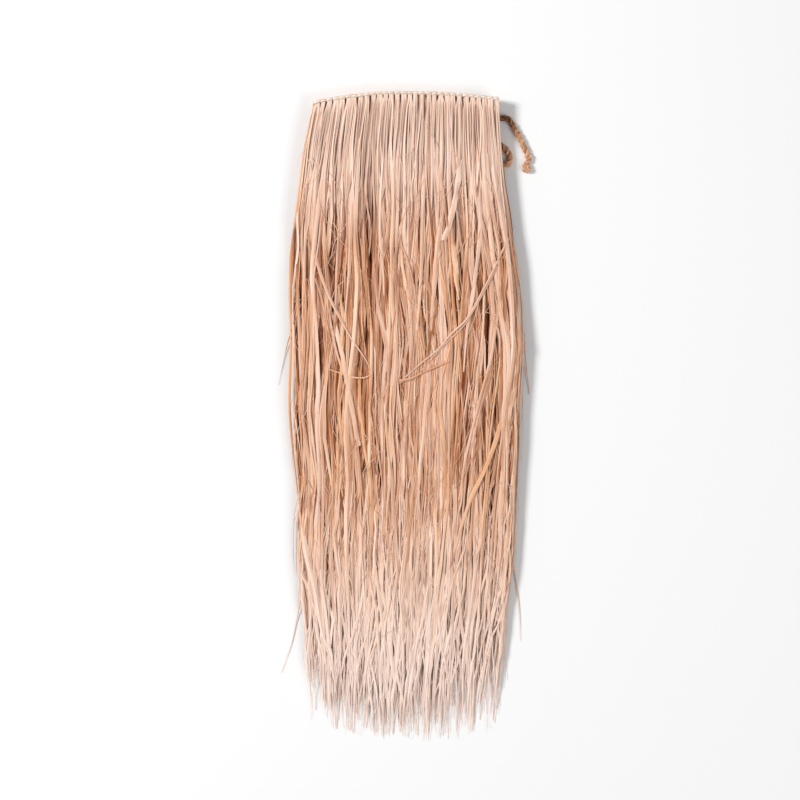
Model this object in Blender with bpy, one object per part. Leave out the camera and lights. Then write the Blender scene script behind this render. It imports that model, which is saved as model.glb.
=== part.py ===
"""A natural raffia grass skirt, folded in four and laid flat, with its waist towards +Y.

Metres, +Z up. The skirt lies on z = 0, and the origin is under the middle of its outline.
Hanks of raffia are looped over a waist cord, so each hank has an over leg and an under leg.
Only the front row shows whole. The three rows folded below it share one layered solid,
and their edges and tips are strands of their own.
"""
import math
import random
from collections import namedtuple

import bmesh
import bpy
from mathutils import Vector

# Overall size
WAIST_Y = 0.3083              # top of the waist's arch
LONGEST_TIP = 0.616           # from the top of the waist to the longest tip
LEFT_ARCH = 0.0095            # fall of the waist's edge from the middle to its left end
RIGHT_ARCH = 0.0057           # and to its right end
GAP = 0.0003                  # between neighbouring pieces
STRAND_LIFT = 0.0005          # between one layer of strands and the next

# Waist cord and ties
CORD_RADIUS = 0.0018
RUN_PITCH = 0.0046            # height from one folded run of the cord to the next
FIRST_RUN = 0.0022            # height of the bottom run's middle
FOLD_LEFT = -0.0795           # where the runs turn on the left
FOLD_RIGHT = 0.0856           # where the two top runs turn on the right
CORD_STEP = 0.016             # between points on a run
CORD_TOP_ROOM = 0.0003        # room over the cord for the loops of the hanks
TIE_RADIUS = 0.00255
TIE_STEP = 0.0045             # between points on a tie
KNOT_SIZE = Vector((0.0090, 0.0116, 0.0062))
KNOT_PLACE = Vector((0.1168, 0.2364, 0.0034))
KNOT_TURN = math.radians(12)

# Hanks and strands
KNOT_ROW = 0.0065             # size of a row of hank knots along the strands
KNOT_DIP = 0.0007             # depth of the hollow between two knots
OVER_LEGS = 62
UNDER_LEGS = 44
HEM_LOCKS = 34
EDGE_LOCKS = 3
EDGE_PITCH = 0.00245
ROOT_THICKNESS = 0.0018
TIP_THICKNESS = 0.0007
HEM_ROOT_THICKNESS = 0.0030
FLOOR_CLEARANCE = 0.0004      # strands end just above the surface
FILL = (0.66, 0.82)           # part of the pitch that a strand's width takes
WIDEST_STRAND = 0.0042
TIP_TAPER = 0.45              # a strand's width at its tip, as a part of its full width
TIP_RAGGED = 0.016            # the strands' lengths differ by this much
LEFT_CORNER = 0.048           # how far the hem rises at its left corner
RIGHT_CORNER = 0.046
WAVE = 0.0100                 # sideways wave, as a part of the skirt's width
WAVE_START = 0.1              # it grows over this distance below the waist
WAVE_EDGE = 0.12              # and it dies out over this part of the width at each side
EDGE_ROUND = (0.014, 0.010)   # width over which each front layer rounds down to its edge

# Folded layers below the front
LAYER_INSET = 0.0085          # from the skirt's outline to the bottom layer's edge
LAYER_STEP = 0.0025           # each layer above is drawn in by this much more
LAYER_BULGE = 0.0011
LAYER_TOPS = (0.345, 0.69, 1.0)
LAYER_SIDE = 0.010            # the rounded side's share of a section
ARCH_POINTS = 7

# The skirt's form, a row for each section: distance below the top of the waist, the left and
# right outline, the height of the folded layers' top in the middle and at the outline, how far
# the two bottom layers are drawn back on the right, where the ties come out, and the height of
# the right edge's strands, which pass over the ties.
Section = namedtuple("Section", "down left right top edge drawn_back right_edge_base")
SECTIONS = (
    Section(0.011, -0.0862, 0.0898, 0.0138, 0.0136, 0.0310, 0.0094),
    Section(0.050, -0.0938, 0.0923, 0.0139, 0.0112, 0.0138, 0.0064),
    Section(0.090, -0.0994, 0.0961, 0.0143, 0.0087, 0.0066, 0.0060),
    Section(0.130, -0.1037, 0.1018, 0.0147, 0.0066, 0.0000, 0.0004),
    Section(0.180, -0.1056, 0.1080, 0.0150, 0.0054, 0.0000, 0.0004),
    Section(0.240, -0.1061, 0.1139, 0.0148, 0.0050, 0.0000, 0.0004),
    Section(0.300, -0.1072, 0.1099, 0.0138, 0.0050, 0.0000, 0.0004),
    Section(0.370, -0.0999, 0.1075, 0.0122, 0.0048, 0.0000, 0.0004),
    Section(0.440, -0.1009, 0.1037, 0.0098, 0.0046, 0.0000, 0.0004),
    Section(0.510, -0.0949, 0.0955, 0.0060, 0.0040, 0.0000, 0.0004),
    Section(0.616, -0.0880, 0.0860, 0.0015, 0.0015, 0.0000, 0.0004),
)
ROOT = SECTIONS[0].down

# The hidden rows end one after the other towards the hem: distance down, height, corner.
HemStep = namedtuple("HemStep", "down height corner")
HEM_STEPS = (
    HemStep(0.470, 0.0076, 0.000),
    HemStep(0.474, 0.0052, 0.001),
    HemStep(0.497, 0.0048, 0.002),
    HemStep(0.501, 0.0030, 0.003),
    HemStep(0.5122, 0.0024, 0.006),
)
HEM_LOCK_ROOT = 0.519

# Strands that bow out past the outline: how far, how far down, over what length.
Stray = namedtuple("Stray", "reach down spread")
LEFT_STRAY = Stray(-0.012, 0.275, 0.050)
RIGHT_STRAY = Stray(0.006, 0.265, 0.040)
LEFT_WISP = Stray(-0.022, 0.550, 0.045)
RIGHT_WISP = Stray(0.015, 0.505, 0.050)

# The ties' routes, from the waist cord's ends: across, along, height.
Place = namedtuple("Place", "x y z")
LONG_TIE = (
    Place(0.0664, 0.2992, 0.0028),
    Place(0.0702, 0.2962, 0.0028),
    Place(0.0742, 0.2915, 0.0028),
    Place(0.0790, 0.2868, 0.0028),
    Place(0.0855, 0.2832, 0.0028),
    Place(0.0920, 0.2826, 0.0028),
    Place(0.0970, 0.2838, 0.0028),
    Place(0.1010, 0.2815, 0.0028),
    Place(0.1038, 0.2768, 0.0028),
    Place(0.1066, 0.2715, 0.0028),
    Place(0.1102, 0.2655, 0.0028),
    Place(0.1134, 0.2590, 0.0028),
    Place(0.1164, 0.2525, 0.0028),
    Place(0.1182, 0.2465, 0.0028),
    Place(0.1182, 0.2425, 0.0030),
)
LOOPED_TIE = (
    Place(0.0569, 0.2992, 0.0062),
    Place(0.0592, 0.2948, 0.0050),
    Place(0.0618, 0.2872, 0.0035),
    Place(0.0654, 0.2785, 0.0028),
    Place(0.0714, 0.2700, 0.0028),
    Place(0.0800, 0.2634, 0.0028),
    Place(0.0880, 0.2600, 0.0028),
    Place(0.0945, 0.2566, 0.0028),
    Place(0.0994, 0.2514, 0.0028),
    Place(0.1014, 0.2455, 0.0028),
    Place(0.0992, 0.2403, 0.0028),
    Place(0.0940, 0.2384, 0.0028),
    Place(0.0885, 0.2396, 0.0028),
    Place(0.0840, 0.2428, 0.0028),
)
# The waist cord's two ends bend off their runs towards the ties: back from the run, along.
BOTTOM_END = ((0.0590, 0.0000), (0.0632, 0.0010), (0.0659, 0.0038))
SECOND_END = ((0.0500, 0.0000), (0.0540, 0.0012), (0.0565, 0.0040))


def clear_scene():
    for item in list(bpy.data.objects):
        bpy.data.objects.remove(item, do_unlink=True)


def material(name, colour, roughness):
    made = bpy.data.materials.new(name)
    made.use_nodes = True
    shader = made.node_tree.nodes["Principled BSDF"]
    shader.inputs["Base Color"].default_value = (*colour, 1.0)
    shader.inputs["Roughness"].default_value = roughness
    return made


def add_object(name, data, finish):
    item = bpy.data.objects.new(name, data)
    bpy.context.scene.collection.objects.link(item)
    data.materials.append(finish)
    return item


def mesh_object(name, shape, finish):
    data = bpy.data.meshes.new(name)
    shape.to_mesh(data)
    shape.free()
    return add_object(name, data, finish)


def mix(start, end, part):
    return start + (end - start) * part


def section_at(down):
    """The skirt's form at a distance below the waist, read between two table rows."""
    for upper, lower in zip(SECTIONS, SECTIONS[1:]):
        if down <= lower.down:
            break
    part = min(max((down - upper.down) / (lower.down - upper.down), 0.0), 1.0)
    return Section(*(mix(a, b, part) for a, b in zip(upper, lower)))


def waist_edge(x):
    """The waist's arched top edge."""
    if x < 0:
        return WAIST_Y - LEFT_ARCH * (x / SECTIONS[0].left) ** 2
    return WAIST_Y - RIGHT_ARCH * (x / SECTIONS[0].right) ** 2


def support_height(x, down, layer):
    """The rounded surface that a front layer lies on, falling to the floor outside it."""
    section = section_at(down)
    inside = min(x - section.left, section.right - x)
    if inside < 0:
        return max(section.edge + inside, FLOOR_CLEARANCE)
    part = min(inside / EDGE_ROUND[layer], 1.0)
    return mix(section.edge, section.top, math.sqrt(1 - (1 - part) ** 2))


def thickness_at(down):
    return mix(ROOT_THICKNESS, TIP_THICKNESS, down / LONGEST_TIP)


def hem_at(part):
    """How far down a strand ends, by its place across the skirt."""
    if part < 0.5:
        return LONGEST_TIP - LEFT_CORNER * (1 - 2 * part) ** 3
    return LONGEST_TIP - RIGHT_CORNER * (2 * part - 1) ** 8


def wave_at(part, down, phase):
    slow = math.sin(2 * math.pi * (1.3 * part + down / 0.42 + phase))
    quick = math.sin(2 * math.pi * (2.1 * part - down / 0.19 + 1.7 * phase))
    fade = min(down / WAVE_START, part / WAVE_EDGE, (1 - part) / WAVE_EDGE, 1.0)
    return WAVE * (slow + 0.5 * quick) * fade


def stray_at(stray, down):
    return stray.reach * math.exp(-((down - stray.down) / stray.spread) ** 2)


class Row:
    """One row of strands that hang from a strip of knots, kept from touching each other."""

    def __init__(self, count, seed):
        self.count = count
        self.chance = random.Random(seed)
        self.stations = [self.strand_stations(i) for i in range(count)]
        self.fills = [self.chance.uniform(*FILL) for _ in range(count)]

    def strand_stations(self, index):
        part = (index + 0.5) / self.count
        ragged = TIP_RAGGED * self.chance.random() ** 2
        rows = [section.down for section in SECTIONS[:-1]]
        return rows + [hem_at(part) - ragged]

    def middle(self, index, down):
        raise NotImplementedError

    def pitch(self, index, down):
        here = self.middle(index, down)
        others = [i for i in (index - 1, index + 1) if 0 <= i < self.count]
        return min(abs(self.middle(i, down) - here) for i in others)

    def width(self, index, down):
        stations = self.stations[index]
        full = min(self.fills[index] * self.pitch(index, down), WIDEST_STRAND)
        last = stations[-1] - stations[-2]
        fade = min((stations[-1] - down) / last, 1.0)
        return full * mix(TIP_TAPER, 1.0, fade)

    def base(self, x, down):
        raise NotImplementedError

    def thickness(self, down):
        return thickness_at(down)

    def root_y(self, x):
        return waist_edge(x) - CORD_TOP_ROOM - 2 * CORD_RADIUS - GAP - KNOT_ROW

    def place(self, x, z, down):
        y = self.root_y(x) if down <= self.stations[0][0] else WAIST_Y - down
        return Vector((x, y, z))

    def cross_section(self, index, down):
        """Left foot, right foot and ridge of a three-sided strand."""
        x = self.middle(index, down)
        half = self.width(index, down) / 2
        left = self.place(x - half, self.base(x - half, down), down)
        right = self.place(x + half, self.base(x + half, down), down)
        ridge_z = (left.z + right.z) / 2 + self.thickness(down)
        return left, right, self.place(x, ridge_z, down)

    def build(self):
        shape = bmesh.new()
        back = Vector((0, KNOT_ROW, 0))
        fronts = []
        backs = []
        for index in range(self.count):
            rings = []
            for down in self.stations[index]:
                rings.append([shape.verts.new(p) for p in self.cross_section(index, down)])
            for upper, lower in zip(rings, rings[1:]):
                for a, b in ((0, 1), (1, 2), (2, 0)):
                    shape.faces.new((upper[a], upper[b], lower[b], lower[a]))
            shape.faces.new(rings[-1])
            fronts.append(rings[0])
            backs.append([shape.verts.new(v.co + back) for v in rings[0]])
        hollows = [self.hollow(shape, a, b, back) for a, b in zip(fronts, fronts[1:])]
        self.close_strip(shape, fronts, backs, hollows)
        return shape

    def hollow(self, shape, left, right, back):
        """The low point between two knots, at the front and the back of their strip."""
        front = (left[2].co + right[2].co) / 2 - Vector((0, 0, KNOT_DIP))
        return shape.verts.new(front), shape.verts.new(front + back)

    def close_strip(self, shape, fronts, backs, hollows):
        new_face = shape.faces.new
        for left, right, ridge in backs:
            new_face((ridge, right, left))
        for front, rear in zip(fronts, backs):
            new_face((front[0], rear[0], rear[1], front[1]))
        pairs = zip(fronts, fronts[1:], backs, backs[1:], hollows)
        for front, next_front, rear, next_rear, (dip, rear_dip) in pairs:
            new_face((front[2], front[1], dip))
            new_face((front[1], next_front[0], dip))
            new_face((dip, next_front[0], next_front[2]))
            new_face((rear_dip, rear[1], rear[2]))
            new_face((rear_dip, next_rear[0], rear[1]))
            new_face((next_rear[2], next_rear[0], rear_dip))
            new_face((front[2], dip, rear_dip, rear[2]))
            new_face((dip, next_front[2], next_rear[2], rear_dip))
            new_face((front[1], rear[1], next_rear[0], next_front[0]))
        new_face((fronts[0][0], fronts[0][2], backs[0][2], backs[0][0]))
        new_face((fronts[-1][1], backs[-1][1], backs[-1][2], fronts[-1][2]))


class FrontRow(Row):
    """The legs of the front hanks: layer 0 lies below, layer 1 over it."""

    def __init__(self, count, seed, layer, phase, strays=False):
        self.layer = layer
        self.phase = phase
        self.strays = strays
        super().__init__(count, seed)

    def middle(self, index, down):
        section = section_at(down)
        part = (index + 0.5) / self.count
        x = mix(section.left, section.right, part + wave_at(part, down - ROOT, self.phase))
        if self.strays and index == 0:
            x += stray_at(LEFT_STRAY, down)
        if self.strays and index == self.count - 1:
            x += stray_at(RIGHT_STRAY, down)
        return x

    def base(self, x, down):
        lift = self.layer * (thickness_at(down) + STRAND_LIFT)
        return support_height(x, down, self.layer) + lift


class EdgeRow(Row):
    """Strands of the folded rows that show along one side."""

    def __init__(self, seed, side):
        self.side = side
        super().__init__(EDGE_LOCKS, seed)

    def strand_stations(self, index):
        wisp = LEFT_WISP if self.side < 0 else RIGHT_WISP
        outermost = 0 if self.side < 0 else self.count - 1
        stations = [section.down for section in SECTIONS[:-1]]
        if index == outermost:
            return stations + [wisp.down + 0.02]
        return stations + [LONGEST_TIP - RIGHT_CORNER - 0.012 * self.chance.random()]

    def middle(self, index, down):
        section = section_at(down)
        if self.side < 0:
            x = section.left + (index + 0.5) * EDGE_PITCH
            return x + (stray_at(LEFT_WISP, down) if index == 0 else 0.0)
        x = section.right - (self.count - index - 0.5) * EDGE_PITCH
        return x + (stray_at(RIGHT_WISP, down) if index == self.count - 1 else 0.0)

    def pitch(self, index, down):
        return EDGE_PITCH

    def base(self, x, down):
        if self.side < 0:
            return FLOOR_CLEARANCE
        return section_at(down).right_edge_base


class HemRow(Row):
    """Locks of the folded rows that show below the front's tips."""

    def strand_stations(self, index):
        part = (index + 0.5) / self.count
        ragged = TIP_RAGGED * self.chance.random()
        tip = hem_at(part) - ragged
        return [HEM_LOCK_ROOT, mix(HEM_LOCK_ROOT, tip, 0.55), tip]

    def middle(self, index, down):
        section = section_at(down)
        part = (index + 0.5) / self.count
        room = LAYER_INSET
        return mix(section.left + room, section.right - room, part + wave_at(part, down, 0.4))

    def base(self, x, down):
        return FLOOR_CLEARANCE

    def thickness(self, down):
        part = (down - HEM_LOCK_ROOT) / (LONGEST_TIP - HEM_LOCK_ROOT)
        return mix(HEM_ROOT_THICKNESS, TIP_THICKNESS, part)

    def root_y(self, x):
        return WAIST_Y - HEM_LOCK_ROOT


def layer_edge(height):
    """The layered side of the folded rows, bottom to top: drawn-in distance, layer, height."""
    points = []
    floor = 0.0
    for layer, top in enumerate(LAYER_TOPS):
        tall = top - floor
        low = 0.0 if layer == 0 else 0.1
        high = 1.0 if layer == len(LAYER_TOPS) - 1 else 0.9
        for along, pull in ((low, 1.0), (0.35, 0.0), (0.65, 0.0), (high, 1.0)):
            drawn = layer * LAYER_STEP + pull * LAYER_BULGE
            points.append((drawn, layer, (floor + along * tall) * height))
        floor = top
    return points


def layers_ring(down, height, corner):
    """One closed section of the folded rows, seen from the hem: bottom, right, top, left."""
    section = section_at(down)
    edge = layer_edge(height)
    left_side = []
    right_side = []
    for drawn, layer, z in edge:
        held_back = 0.0 if layer == len(LAYER_TOPS) - 1 else section.drawn_back
        left_side.append((section.left + LAYER_INSET + corner + drawn, z))
        right_side.append((section.right - LAYER_INSET - corner - drawn - held_back, z))
    start = left_side[0][0] + LAYER_SIDE
    end = right_side[0][0] - LAYER_SIDE
    across = [mix(start, end, i / (ARCH_POINTS - 1)) for i in range(ARCH_POINTS)]
    bottom = [(x, 0.0) for x in across]
    top = [(x, height) for x in reversed(across)]
    return bottom + right_side + top + left_side[::-1]


def folded_layers(finish):
    shape = bmesh.new()
    waist_gap = CORD_TOP_ROOM + 2 * CORD_RADIUS + GAP
    steps = [HemStep(s.down, s.top - STRAND_LIFT, 0.0) for s in SECTIONS if s.down < 0.45]
    rings = []
    for number, step in enumerate(steps + list(HEM_STEPS)):
        ring = []
        for x, z in layers_ring(*step):
            y = waist_edge(x) - waist_gap if number == 0 else WAIST_Y - step.down
            ring.append(shape.verts.new((x, y, z)))
        rings.append(ring)
    count = len(rings[0])
    for upper, lower in zip(rings, rings[1:]):
        for a in range(count):
            b = (a + 1) % count
            shape.faces.new((upper[a], upper[b], lower[b], lower[a]))
    close_layers(shape, rings[0], True)
    close_layers(shape, rings[-1], False)
    return mesh_object("folded_layers", shape, finish)


def close_layers(shape, ring, at_waist):
    """Fill an end of the folded rows: four-sided faces in the middle, one face each side."""
    side = 4 * len(LAYER_TOPS)
    bottom = ring[:ARCH_POINTS]
    right = ring[ARCH_POINTS - 1:ARCH_POINTS + side + 1]
    top = ring[ARCH_POINTS + side:2 * ARCH_POINTS + side]
    left = ring[2 * ARCH_POINTS + side - 1:] + ring[:1]
    above = top[::-1]
    faces = [right, left]
    for i in range(ARCH_POINTS - 1):
        faces.append([bottom[i], bottom[i + 1], above[i + 1], above[i]])
    for face in faces:
        shape.faces.new(face[::-1] if at_waist else face)


def smooth_route(places, step):
    """Points at even steps on a smooth curve through the given places."""
    knots = [Vector(p) for p in places]
    ends = [2 * knots[0] - knots[1]] + knots + [2 * knots[-1] - knots[-2]]
    fine = []
    for a, b, c, d in zip(ends, ends[1:], ends[2:], ends[3:]):
        for i in range(20):
            t = i / 20
            point = b * 2 + (c - a) * t
            point += (a * 2 - b * 5 + c * 4 - d) * t ** 2
            point += (b * 3 - a - c * 3 + d) * t ** 3
            fine.append(point / 2)
    fine.append(knots[-1])
    lengths = [0.0]
    for a, b in zip(fine, fine[1:]):
        lengths.append(lengths[-1] + (b - a).length)
    count = round(lengths[-1] / step)
    points = []
    spot = 0
    for i in range(count + 1):
        target = lengths[-1] * i / count
        while spot < len(fine) - 2 and lengths[spot + 1] < target:
            spot += 1
        part = (target - lengths[spot]) / (lengths[spot + 1] - lengths[spot])
        points.append(fine[spot].lerp(fine[spot + 1], part))
    return points


def tube(name, points, radius, finish):
    data = bpy.data.curves.new(name, "CURVE")
    data.dimensions = "3D"
    data.bevel_depth = radius
    data.bevel_resolution = 2
    data.use_fill_caps = True
    spline = data.splines.new("POLY")
    spline.points.add(len(points) - 1)
    for point, place in zip(spline.points, points):
        point.co = (*place, 1.0)
    return add_object(name, data, finish)


def cord_point(x, height, back=0.0):
    return Vector((x, waist_edge(x) - CORD_TOP_ROOM - CORD_RADIUS - back, height))


def cord_run(start, end, height):
    count = max(round(abs(end - start) / CORD_STEP), 1)
    return [cord_point(mix(start, end, i / count), height) for i in range(1, count)]


def cord_turn(centre_x, low, high, side, steps):
    """A half turn from one run up to another."""
    radius = (high - low) / 2
    points = []
    for i in range(steps + 1):
        angle = math.pi * i / steps
        x = centre_x + side * radius * math.sin(angle)
        points.append(cord_point(x, low + radius * (1 - math.cos(angle))))
    return points


def waist_cord(finish):
    """One cord in four runs: folded in half at the right, and both halves at the left."""
    bottom, second, third, front = [FIRST_RUN + RUN_PITCH * i for i in range(4)]
    points = [cord_point(x, bottom, back) for x, back in reversed(BOTTOM_END)]
    points += cord_run(BOTTOM_END[0][0], FOLD_LEFT, bottom)
    points += cord_turn(FOLD_LEFT, bottom, front, -1, 8)
    points += cord_run(FOLD_LEFT, FOLD_RIGHT, front)
    points += cord_turn(FOLD_RIGHT, third, front, 1, 6)[::-1]
    points += cord_run(FOLD_RIGHT, FOLD_LEFT, third)
    points += cord_turn(FOLD_LEFT, second, third, -1, 6)[::-1]
    points += cord_run(FOLD_LEFT, SECOND_END[0][0], second)
    points += [cord_point(x, second, back) for x, back in SECOND_END]
    return tube("waist_cord", points, CORD_RADIUS, finish)


def tie_knot(finish):
    shape = bmesh.new()
    bmesh.ops.create_uvsphere(shape, u_segments=12, v_segments=7, radius=0.5)
    bmesh.ops.scale(shape, vec=KNOT_SIZE, verts=shape.verts)
    knot = mesh_object("tie_long_knot", shape, finish)
    knot.location = KNOT_PLACE
    knot.rotation_euler = (0, 0, KNOT_TURN)
    return knot


def main():
    clear_scene()
    pale = material("raffia pale", (0.80, 0.62, 0.44), 0.62)
    straw = material("raffia straw", (0.70, 0.49, 0.30), 0.66)
    tan = material("raffia tan", (0.55, 0.36, 0.20), 0.70)
    brown = material("raffia cord brown", (0.42, 0.25, 0.13), 0.75)
    cream = material("raffia cord cream", (0.78, 0.66, 0.52), 0.70)

    waist_cord(cream)
    mesh_object("front_over_legs", FrontRow(OVER_LEGS, 5, 1, 0.0, True).build(), pale)
    mesh_object("front_under_legs", FrontRow(UNDER_LEGS, 8, 0, 0.37).build(), straw)
    folded_layers(tan)
    mesh_object("left_edge_strands", EdgeRow(11, -1).build(), straw)
    mesh_object("right_edge_strands", EdgeRow(12, 1).build(), straw)
    mesh_object("hem_strands", HemRow(HEM_LOCKS, 14).build(), straw)
    tube("tie_long", smooth_route(LONG_TIE, TIE_STEP), TIE_RADIUS, brown)
    tie_knot(brown)
    tube("tie_looped", smooth_route(LOOPED_TIE, TIE_STEP), TIE_RADIUS, brown)


main()
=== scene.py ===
"""The looks of a raffia grass skirt, folded in four and laid flat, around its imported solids.

Metres, +Z up, the waist towards +Y. Every ribbon of the four folded rows is a thin closed strip
of its own: an over leg and an under leg hang from each hank's loop over the waist cord.
"""
import math
from collections import namedtuple

import bpy
import numpy as np
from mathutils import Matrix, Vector


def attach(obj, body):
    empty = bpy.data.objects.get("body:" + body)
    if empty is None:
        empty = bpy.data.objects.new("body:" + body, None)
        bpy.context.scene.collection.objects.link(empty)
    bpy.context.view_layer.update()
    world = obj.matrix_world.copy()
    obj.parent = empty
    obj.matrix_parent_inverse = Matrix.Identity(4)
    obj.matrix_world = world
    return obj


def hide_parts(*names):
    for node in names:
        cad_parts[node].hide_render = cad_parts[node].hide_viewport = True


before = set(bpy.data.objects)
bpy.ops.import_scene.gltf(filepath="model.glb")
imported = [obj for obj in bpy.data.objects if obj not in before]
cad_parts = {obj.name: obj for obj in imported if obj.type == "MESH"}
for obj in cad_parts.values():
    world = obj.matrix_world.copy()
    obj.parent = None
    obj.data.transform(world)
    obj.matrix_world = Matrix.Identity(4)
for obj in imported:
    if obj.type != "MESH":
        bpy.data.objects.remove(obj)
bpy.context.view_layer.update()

# Sizes that the solids have too
WAIST_Y = 0.3083              # top of the waist's arch
LONGEST_TIP = 0.616           # from the top of the waist to the longest tip
LEFT_ARCH = 0.0095            # fall of the waist's edge from the middle to its left end
RIGHT_ARCH = 0.0057           # and to its right end
CORD_RADIUS = 0.0018
CORD_TOP_ROOM = 0.0003        # room over the cord for the loops of the hanks
RUN_PITCH = 0.0046            # height from one folded run of the cord to the next
FIRST_RUN = 0.0022            # height of the bottom run's middle
FOLD_LEFT = -0.0795           # where the runs turn on the left
FOLD_RIGHT = 0.0856           # where the two top runs turn on the right
TIE_RADIUS = 0.00255
KNOT_SIZE = (0.0090, 0.0116, 0.0062)
KNOT_PLACE = (0.1168, 0.2364, 0.0034)
KNOT_TURN = math.radians(12)
# From the tie's end into the knot, and the turn that lies against the tie above it
KNOT_LEADS = (
    ((0.1182, 0.2440, 0.0030), (0.1178, 0.2405, 0.0033), (0.1168, 0.2364, 0.0034)),
    ((0.1176, 0.2512, 0.0026), (0.1199, 0.2482, 0.0028), (0.1200, 0.2445, 0.0032),
     (0.1176, 0.2412, 0.0036)),
)
LEFT_CORNER = 0.048           # how far the hem rises at its left corner
RIGHT_CORNER = 0.046
EDGE_ROUND = 0.014            # width over which the stack rounds down to its edge
ROOT_THICKNESS = 0.0018       # of one layer of front strands at the waist
TIP_THICKNESS = 0.0007
STRAND_LIFT = 0.0005

# The form of the folded skirt, a row for each section: distance below the top of the waist, the
# left and right outline, the folded layers' top in the middle and at the outline, and how far
# the two bottom rows are drawn back on the right, where the ties come out.
Section = namedtuple("Section", "down left right top edge drawn_back")
SECTIONS = (
    Section(0.011, -0.0862, 0.0898, 0.0138, 0.0136, 0.0310),
    Section(0.050, -0.0938, 0.0923, 0.0139, 0.0112, 0.0138),
    Section(0.090, -0.0994, 0.0961, 0.0143, 0.0087, 0.0066),
    Section(0.130, -0.1037, 0.1018, 0.0147, 0.0066, 0.0000),
    Section(0.180, -0.1056, 0.1080, 0.0150, 0.0054, 0.0000),
    Section(0.240, -0.1061, 0.1139, 0.0148, 0.0050, 0.0000),
    Section(0.300, -0.1072, 0.1099, 0.0138, 0.0050, 0.0000),
    Section(0.370, -0.0999, 0.1075, 0.0122, 0.0048, 0.0000),
    Section(0.440, -0.1009, 0.1037, 0.0098, 0.0046, 0.0000),
    Section(0.510, -0.0949, 0.0955, 0.0060, 0.0040, 0.0000),
    Section(0.616, -0.0880, 0.0860, 0.0015, 0.0015, 0.0000),
)

# The ties' routes, from the waist cord's ends: across, along, height.
LONG_TIE = (
    (0.0664, 0.2992, 0.0028),
    (0.0702, 0.2962, 0.0028),
    (0.0742, 0.2915, 0.0028),
    (0.0790, 0.2868, 0.0028),
    (0.0855, 0.2832, 0.0028),
    (0.0920, 0.2826, 0.0028),
    (0.0970, 0.2838, 0.0028),
    (0.1010, 0.2815, 0.0028),
    (0.1038, 0.2768, 0.0028),
    (0.1066, 0.2715, 0.0028),
    (0.1102, 0.2655, 0.0028),
    (0.1134, 0.2590, 0.0028),
    (0.1164, 0.2525, 0.0028),
    (0.1182, 0.2465, 0.0028),
    (0.1182, 0.2425, 0.0030),
)
LOOPED_TIE = (
    (0.0569, 0.2992, 0.0062),
    (0.0592, 0.2948, 0.0050),
    (0.0618, 0.2872, 0.0035),
    (0.0654, 0.2785, 0.0028),
    (0.0714, 0.2700, 0.0028),
    (0.0800, 0.2634, 0.0028),
    (0.0880, 0.2600, 0.0028),
    (0.0945, 0.2566, 0.0028),
    (0.0994, 0.2514, 0.0028),
    (0.1014, 0.2455, 0.0028),
    (0.0992, 0.2403, 0.0028),
    (0.0940, 0.2384, 0.0028),
    (0.0885, 0.2396, 0.0028),
    (0.0840, 0.2428, 0.0028),
)
BOTTOM_END = ((0.0590, 0.0000), (0.0632, 0.0010), (0.0659, 0.0038))
SECOND_END = ((0.0500, 0.0000), (0.0540, 0.0012), (0.0565, 0.0040))

# The ties: seeds of the plies and of the broken fibres, tones at the waist and at the far end
Tie = namedtuple("Tie", "name route seed fibre_seed tones far_end")
TIES = (
    Tie("tie_long", LONG_TIE, 65, 67, (0.34, 0.84), "knot"),
    Tie("tie_looped", LOOPED_TIE, 66, 68, (0.62, 0.84), "object"),
)
KNOT_TONE = 0.84
WAIST_TONE = 0.76

# How the cords are laid: the radius out to the backs of the plies, and the length of one turn
WAIST_LAY = (0.00174, 0.0062)
BINDING_LAY = (0.00082, 0.0040)
TIE_LAY = (0.00295, 0.0115)
KNOT_LAY = (0.00215, 0.0085)
LEAD_LAY = (0.0021, 0.0085)
TIE_RIBS = 0.17               # how deep the strands of a tie's plies are parted

# The photograph's frame: its scale and the pixel over the part's origin
PIXEL = 0.000947
ORIGIN_U = 403.5
ORIGIN_V = 416.5

# Ribbons
HANKS = 30                    # loops on each run of the cord
NECK_SHARE = 0.60             # part of a hank's room that its neck takes
OPEN_SHARE = 1.30             # and that its ribbons take once they have spread
NECK_DOWN = 0.0046            # where the binding pinches a hank, below the waist's edge
RIBBON_THICKNESS = 0.00018
NECK_WIDTH = 0.0013
BROAD_RIBBON = 0.0034         # from this width on a ribbon gets the finer section
BROKEN_SHARE = 0.06           # of the ribbons, broken off higher up
BROKEN_OFF = (0.14, 0.36)     # and the length that they lack
SUNK_START = 0.0016           # how deep a loose ribbon comes out from between the others
LOOP_SUNK = 0.00006           # how deep a loop lies in the cord's plies
FLOOR_ROOM = 0.00006          # the lowest ribbons lie this far above the floor
WRAP_STEPS = 7                # stations of a loop over the cord
FIBRE_CROWN = 0.25
FOLDED_BACK = 0.3             # what runs past the outline comes back inside by this part of it

# How the strands lean and part at the right, and settle at the hem
LEAN = 0.0075                 # towards the left, right of the middle
EDGE_SPREAD = 0.004           # outwards, at the right edge
SLOT_X = 0.0800               # the slot's middle, at SLOT_DOWN below the waist
SLOT_DOWN = 0.24
SLOT_SLOPE = 0.02             # how far it leans to the left for each metre down
SLOT_HALF = 0.0023            # half its width
SETTLED = 0.55                # part of its height that the skirt has lost at the hem


def at(name, down):
    """A column of the form's table at distances below the waist."""
    downs = [section.down for section in SECTIONS]
    values = [getattr(section, name) for section in SECTIONS]
    return np.interp(down, downs, values)


def smoothstep(low, high, value):
    part = np.clip((value - low) / (high - low), 0.0, 1.0)
    return part * part * (3 - 2 * part)


def mix(start, end, part):
    return start + (end - start) * part


def bump(value):
    """1 at zero, falling smoothly to 0 at 1 and beyond."""
    return 1 - smoothstep(0.0, 1.0, np.abs(value))


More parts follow.
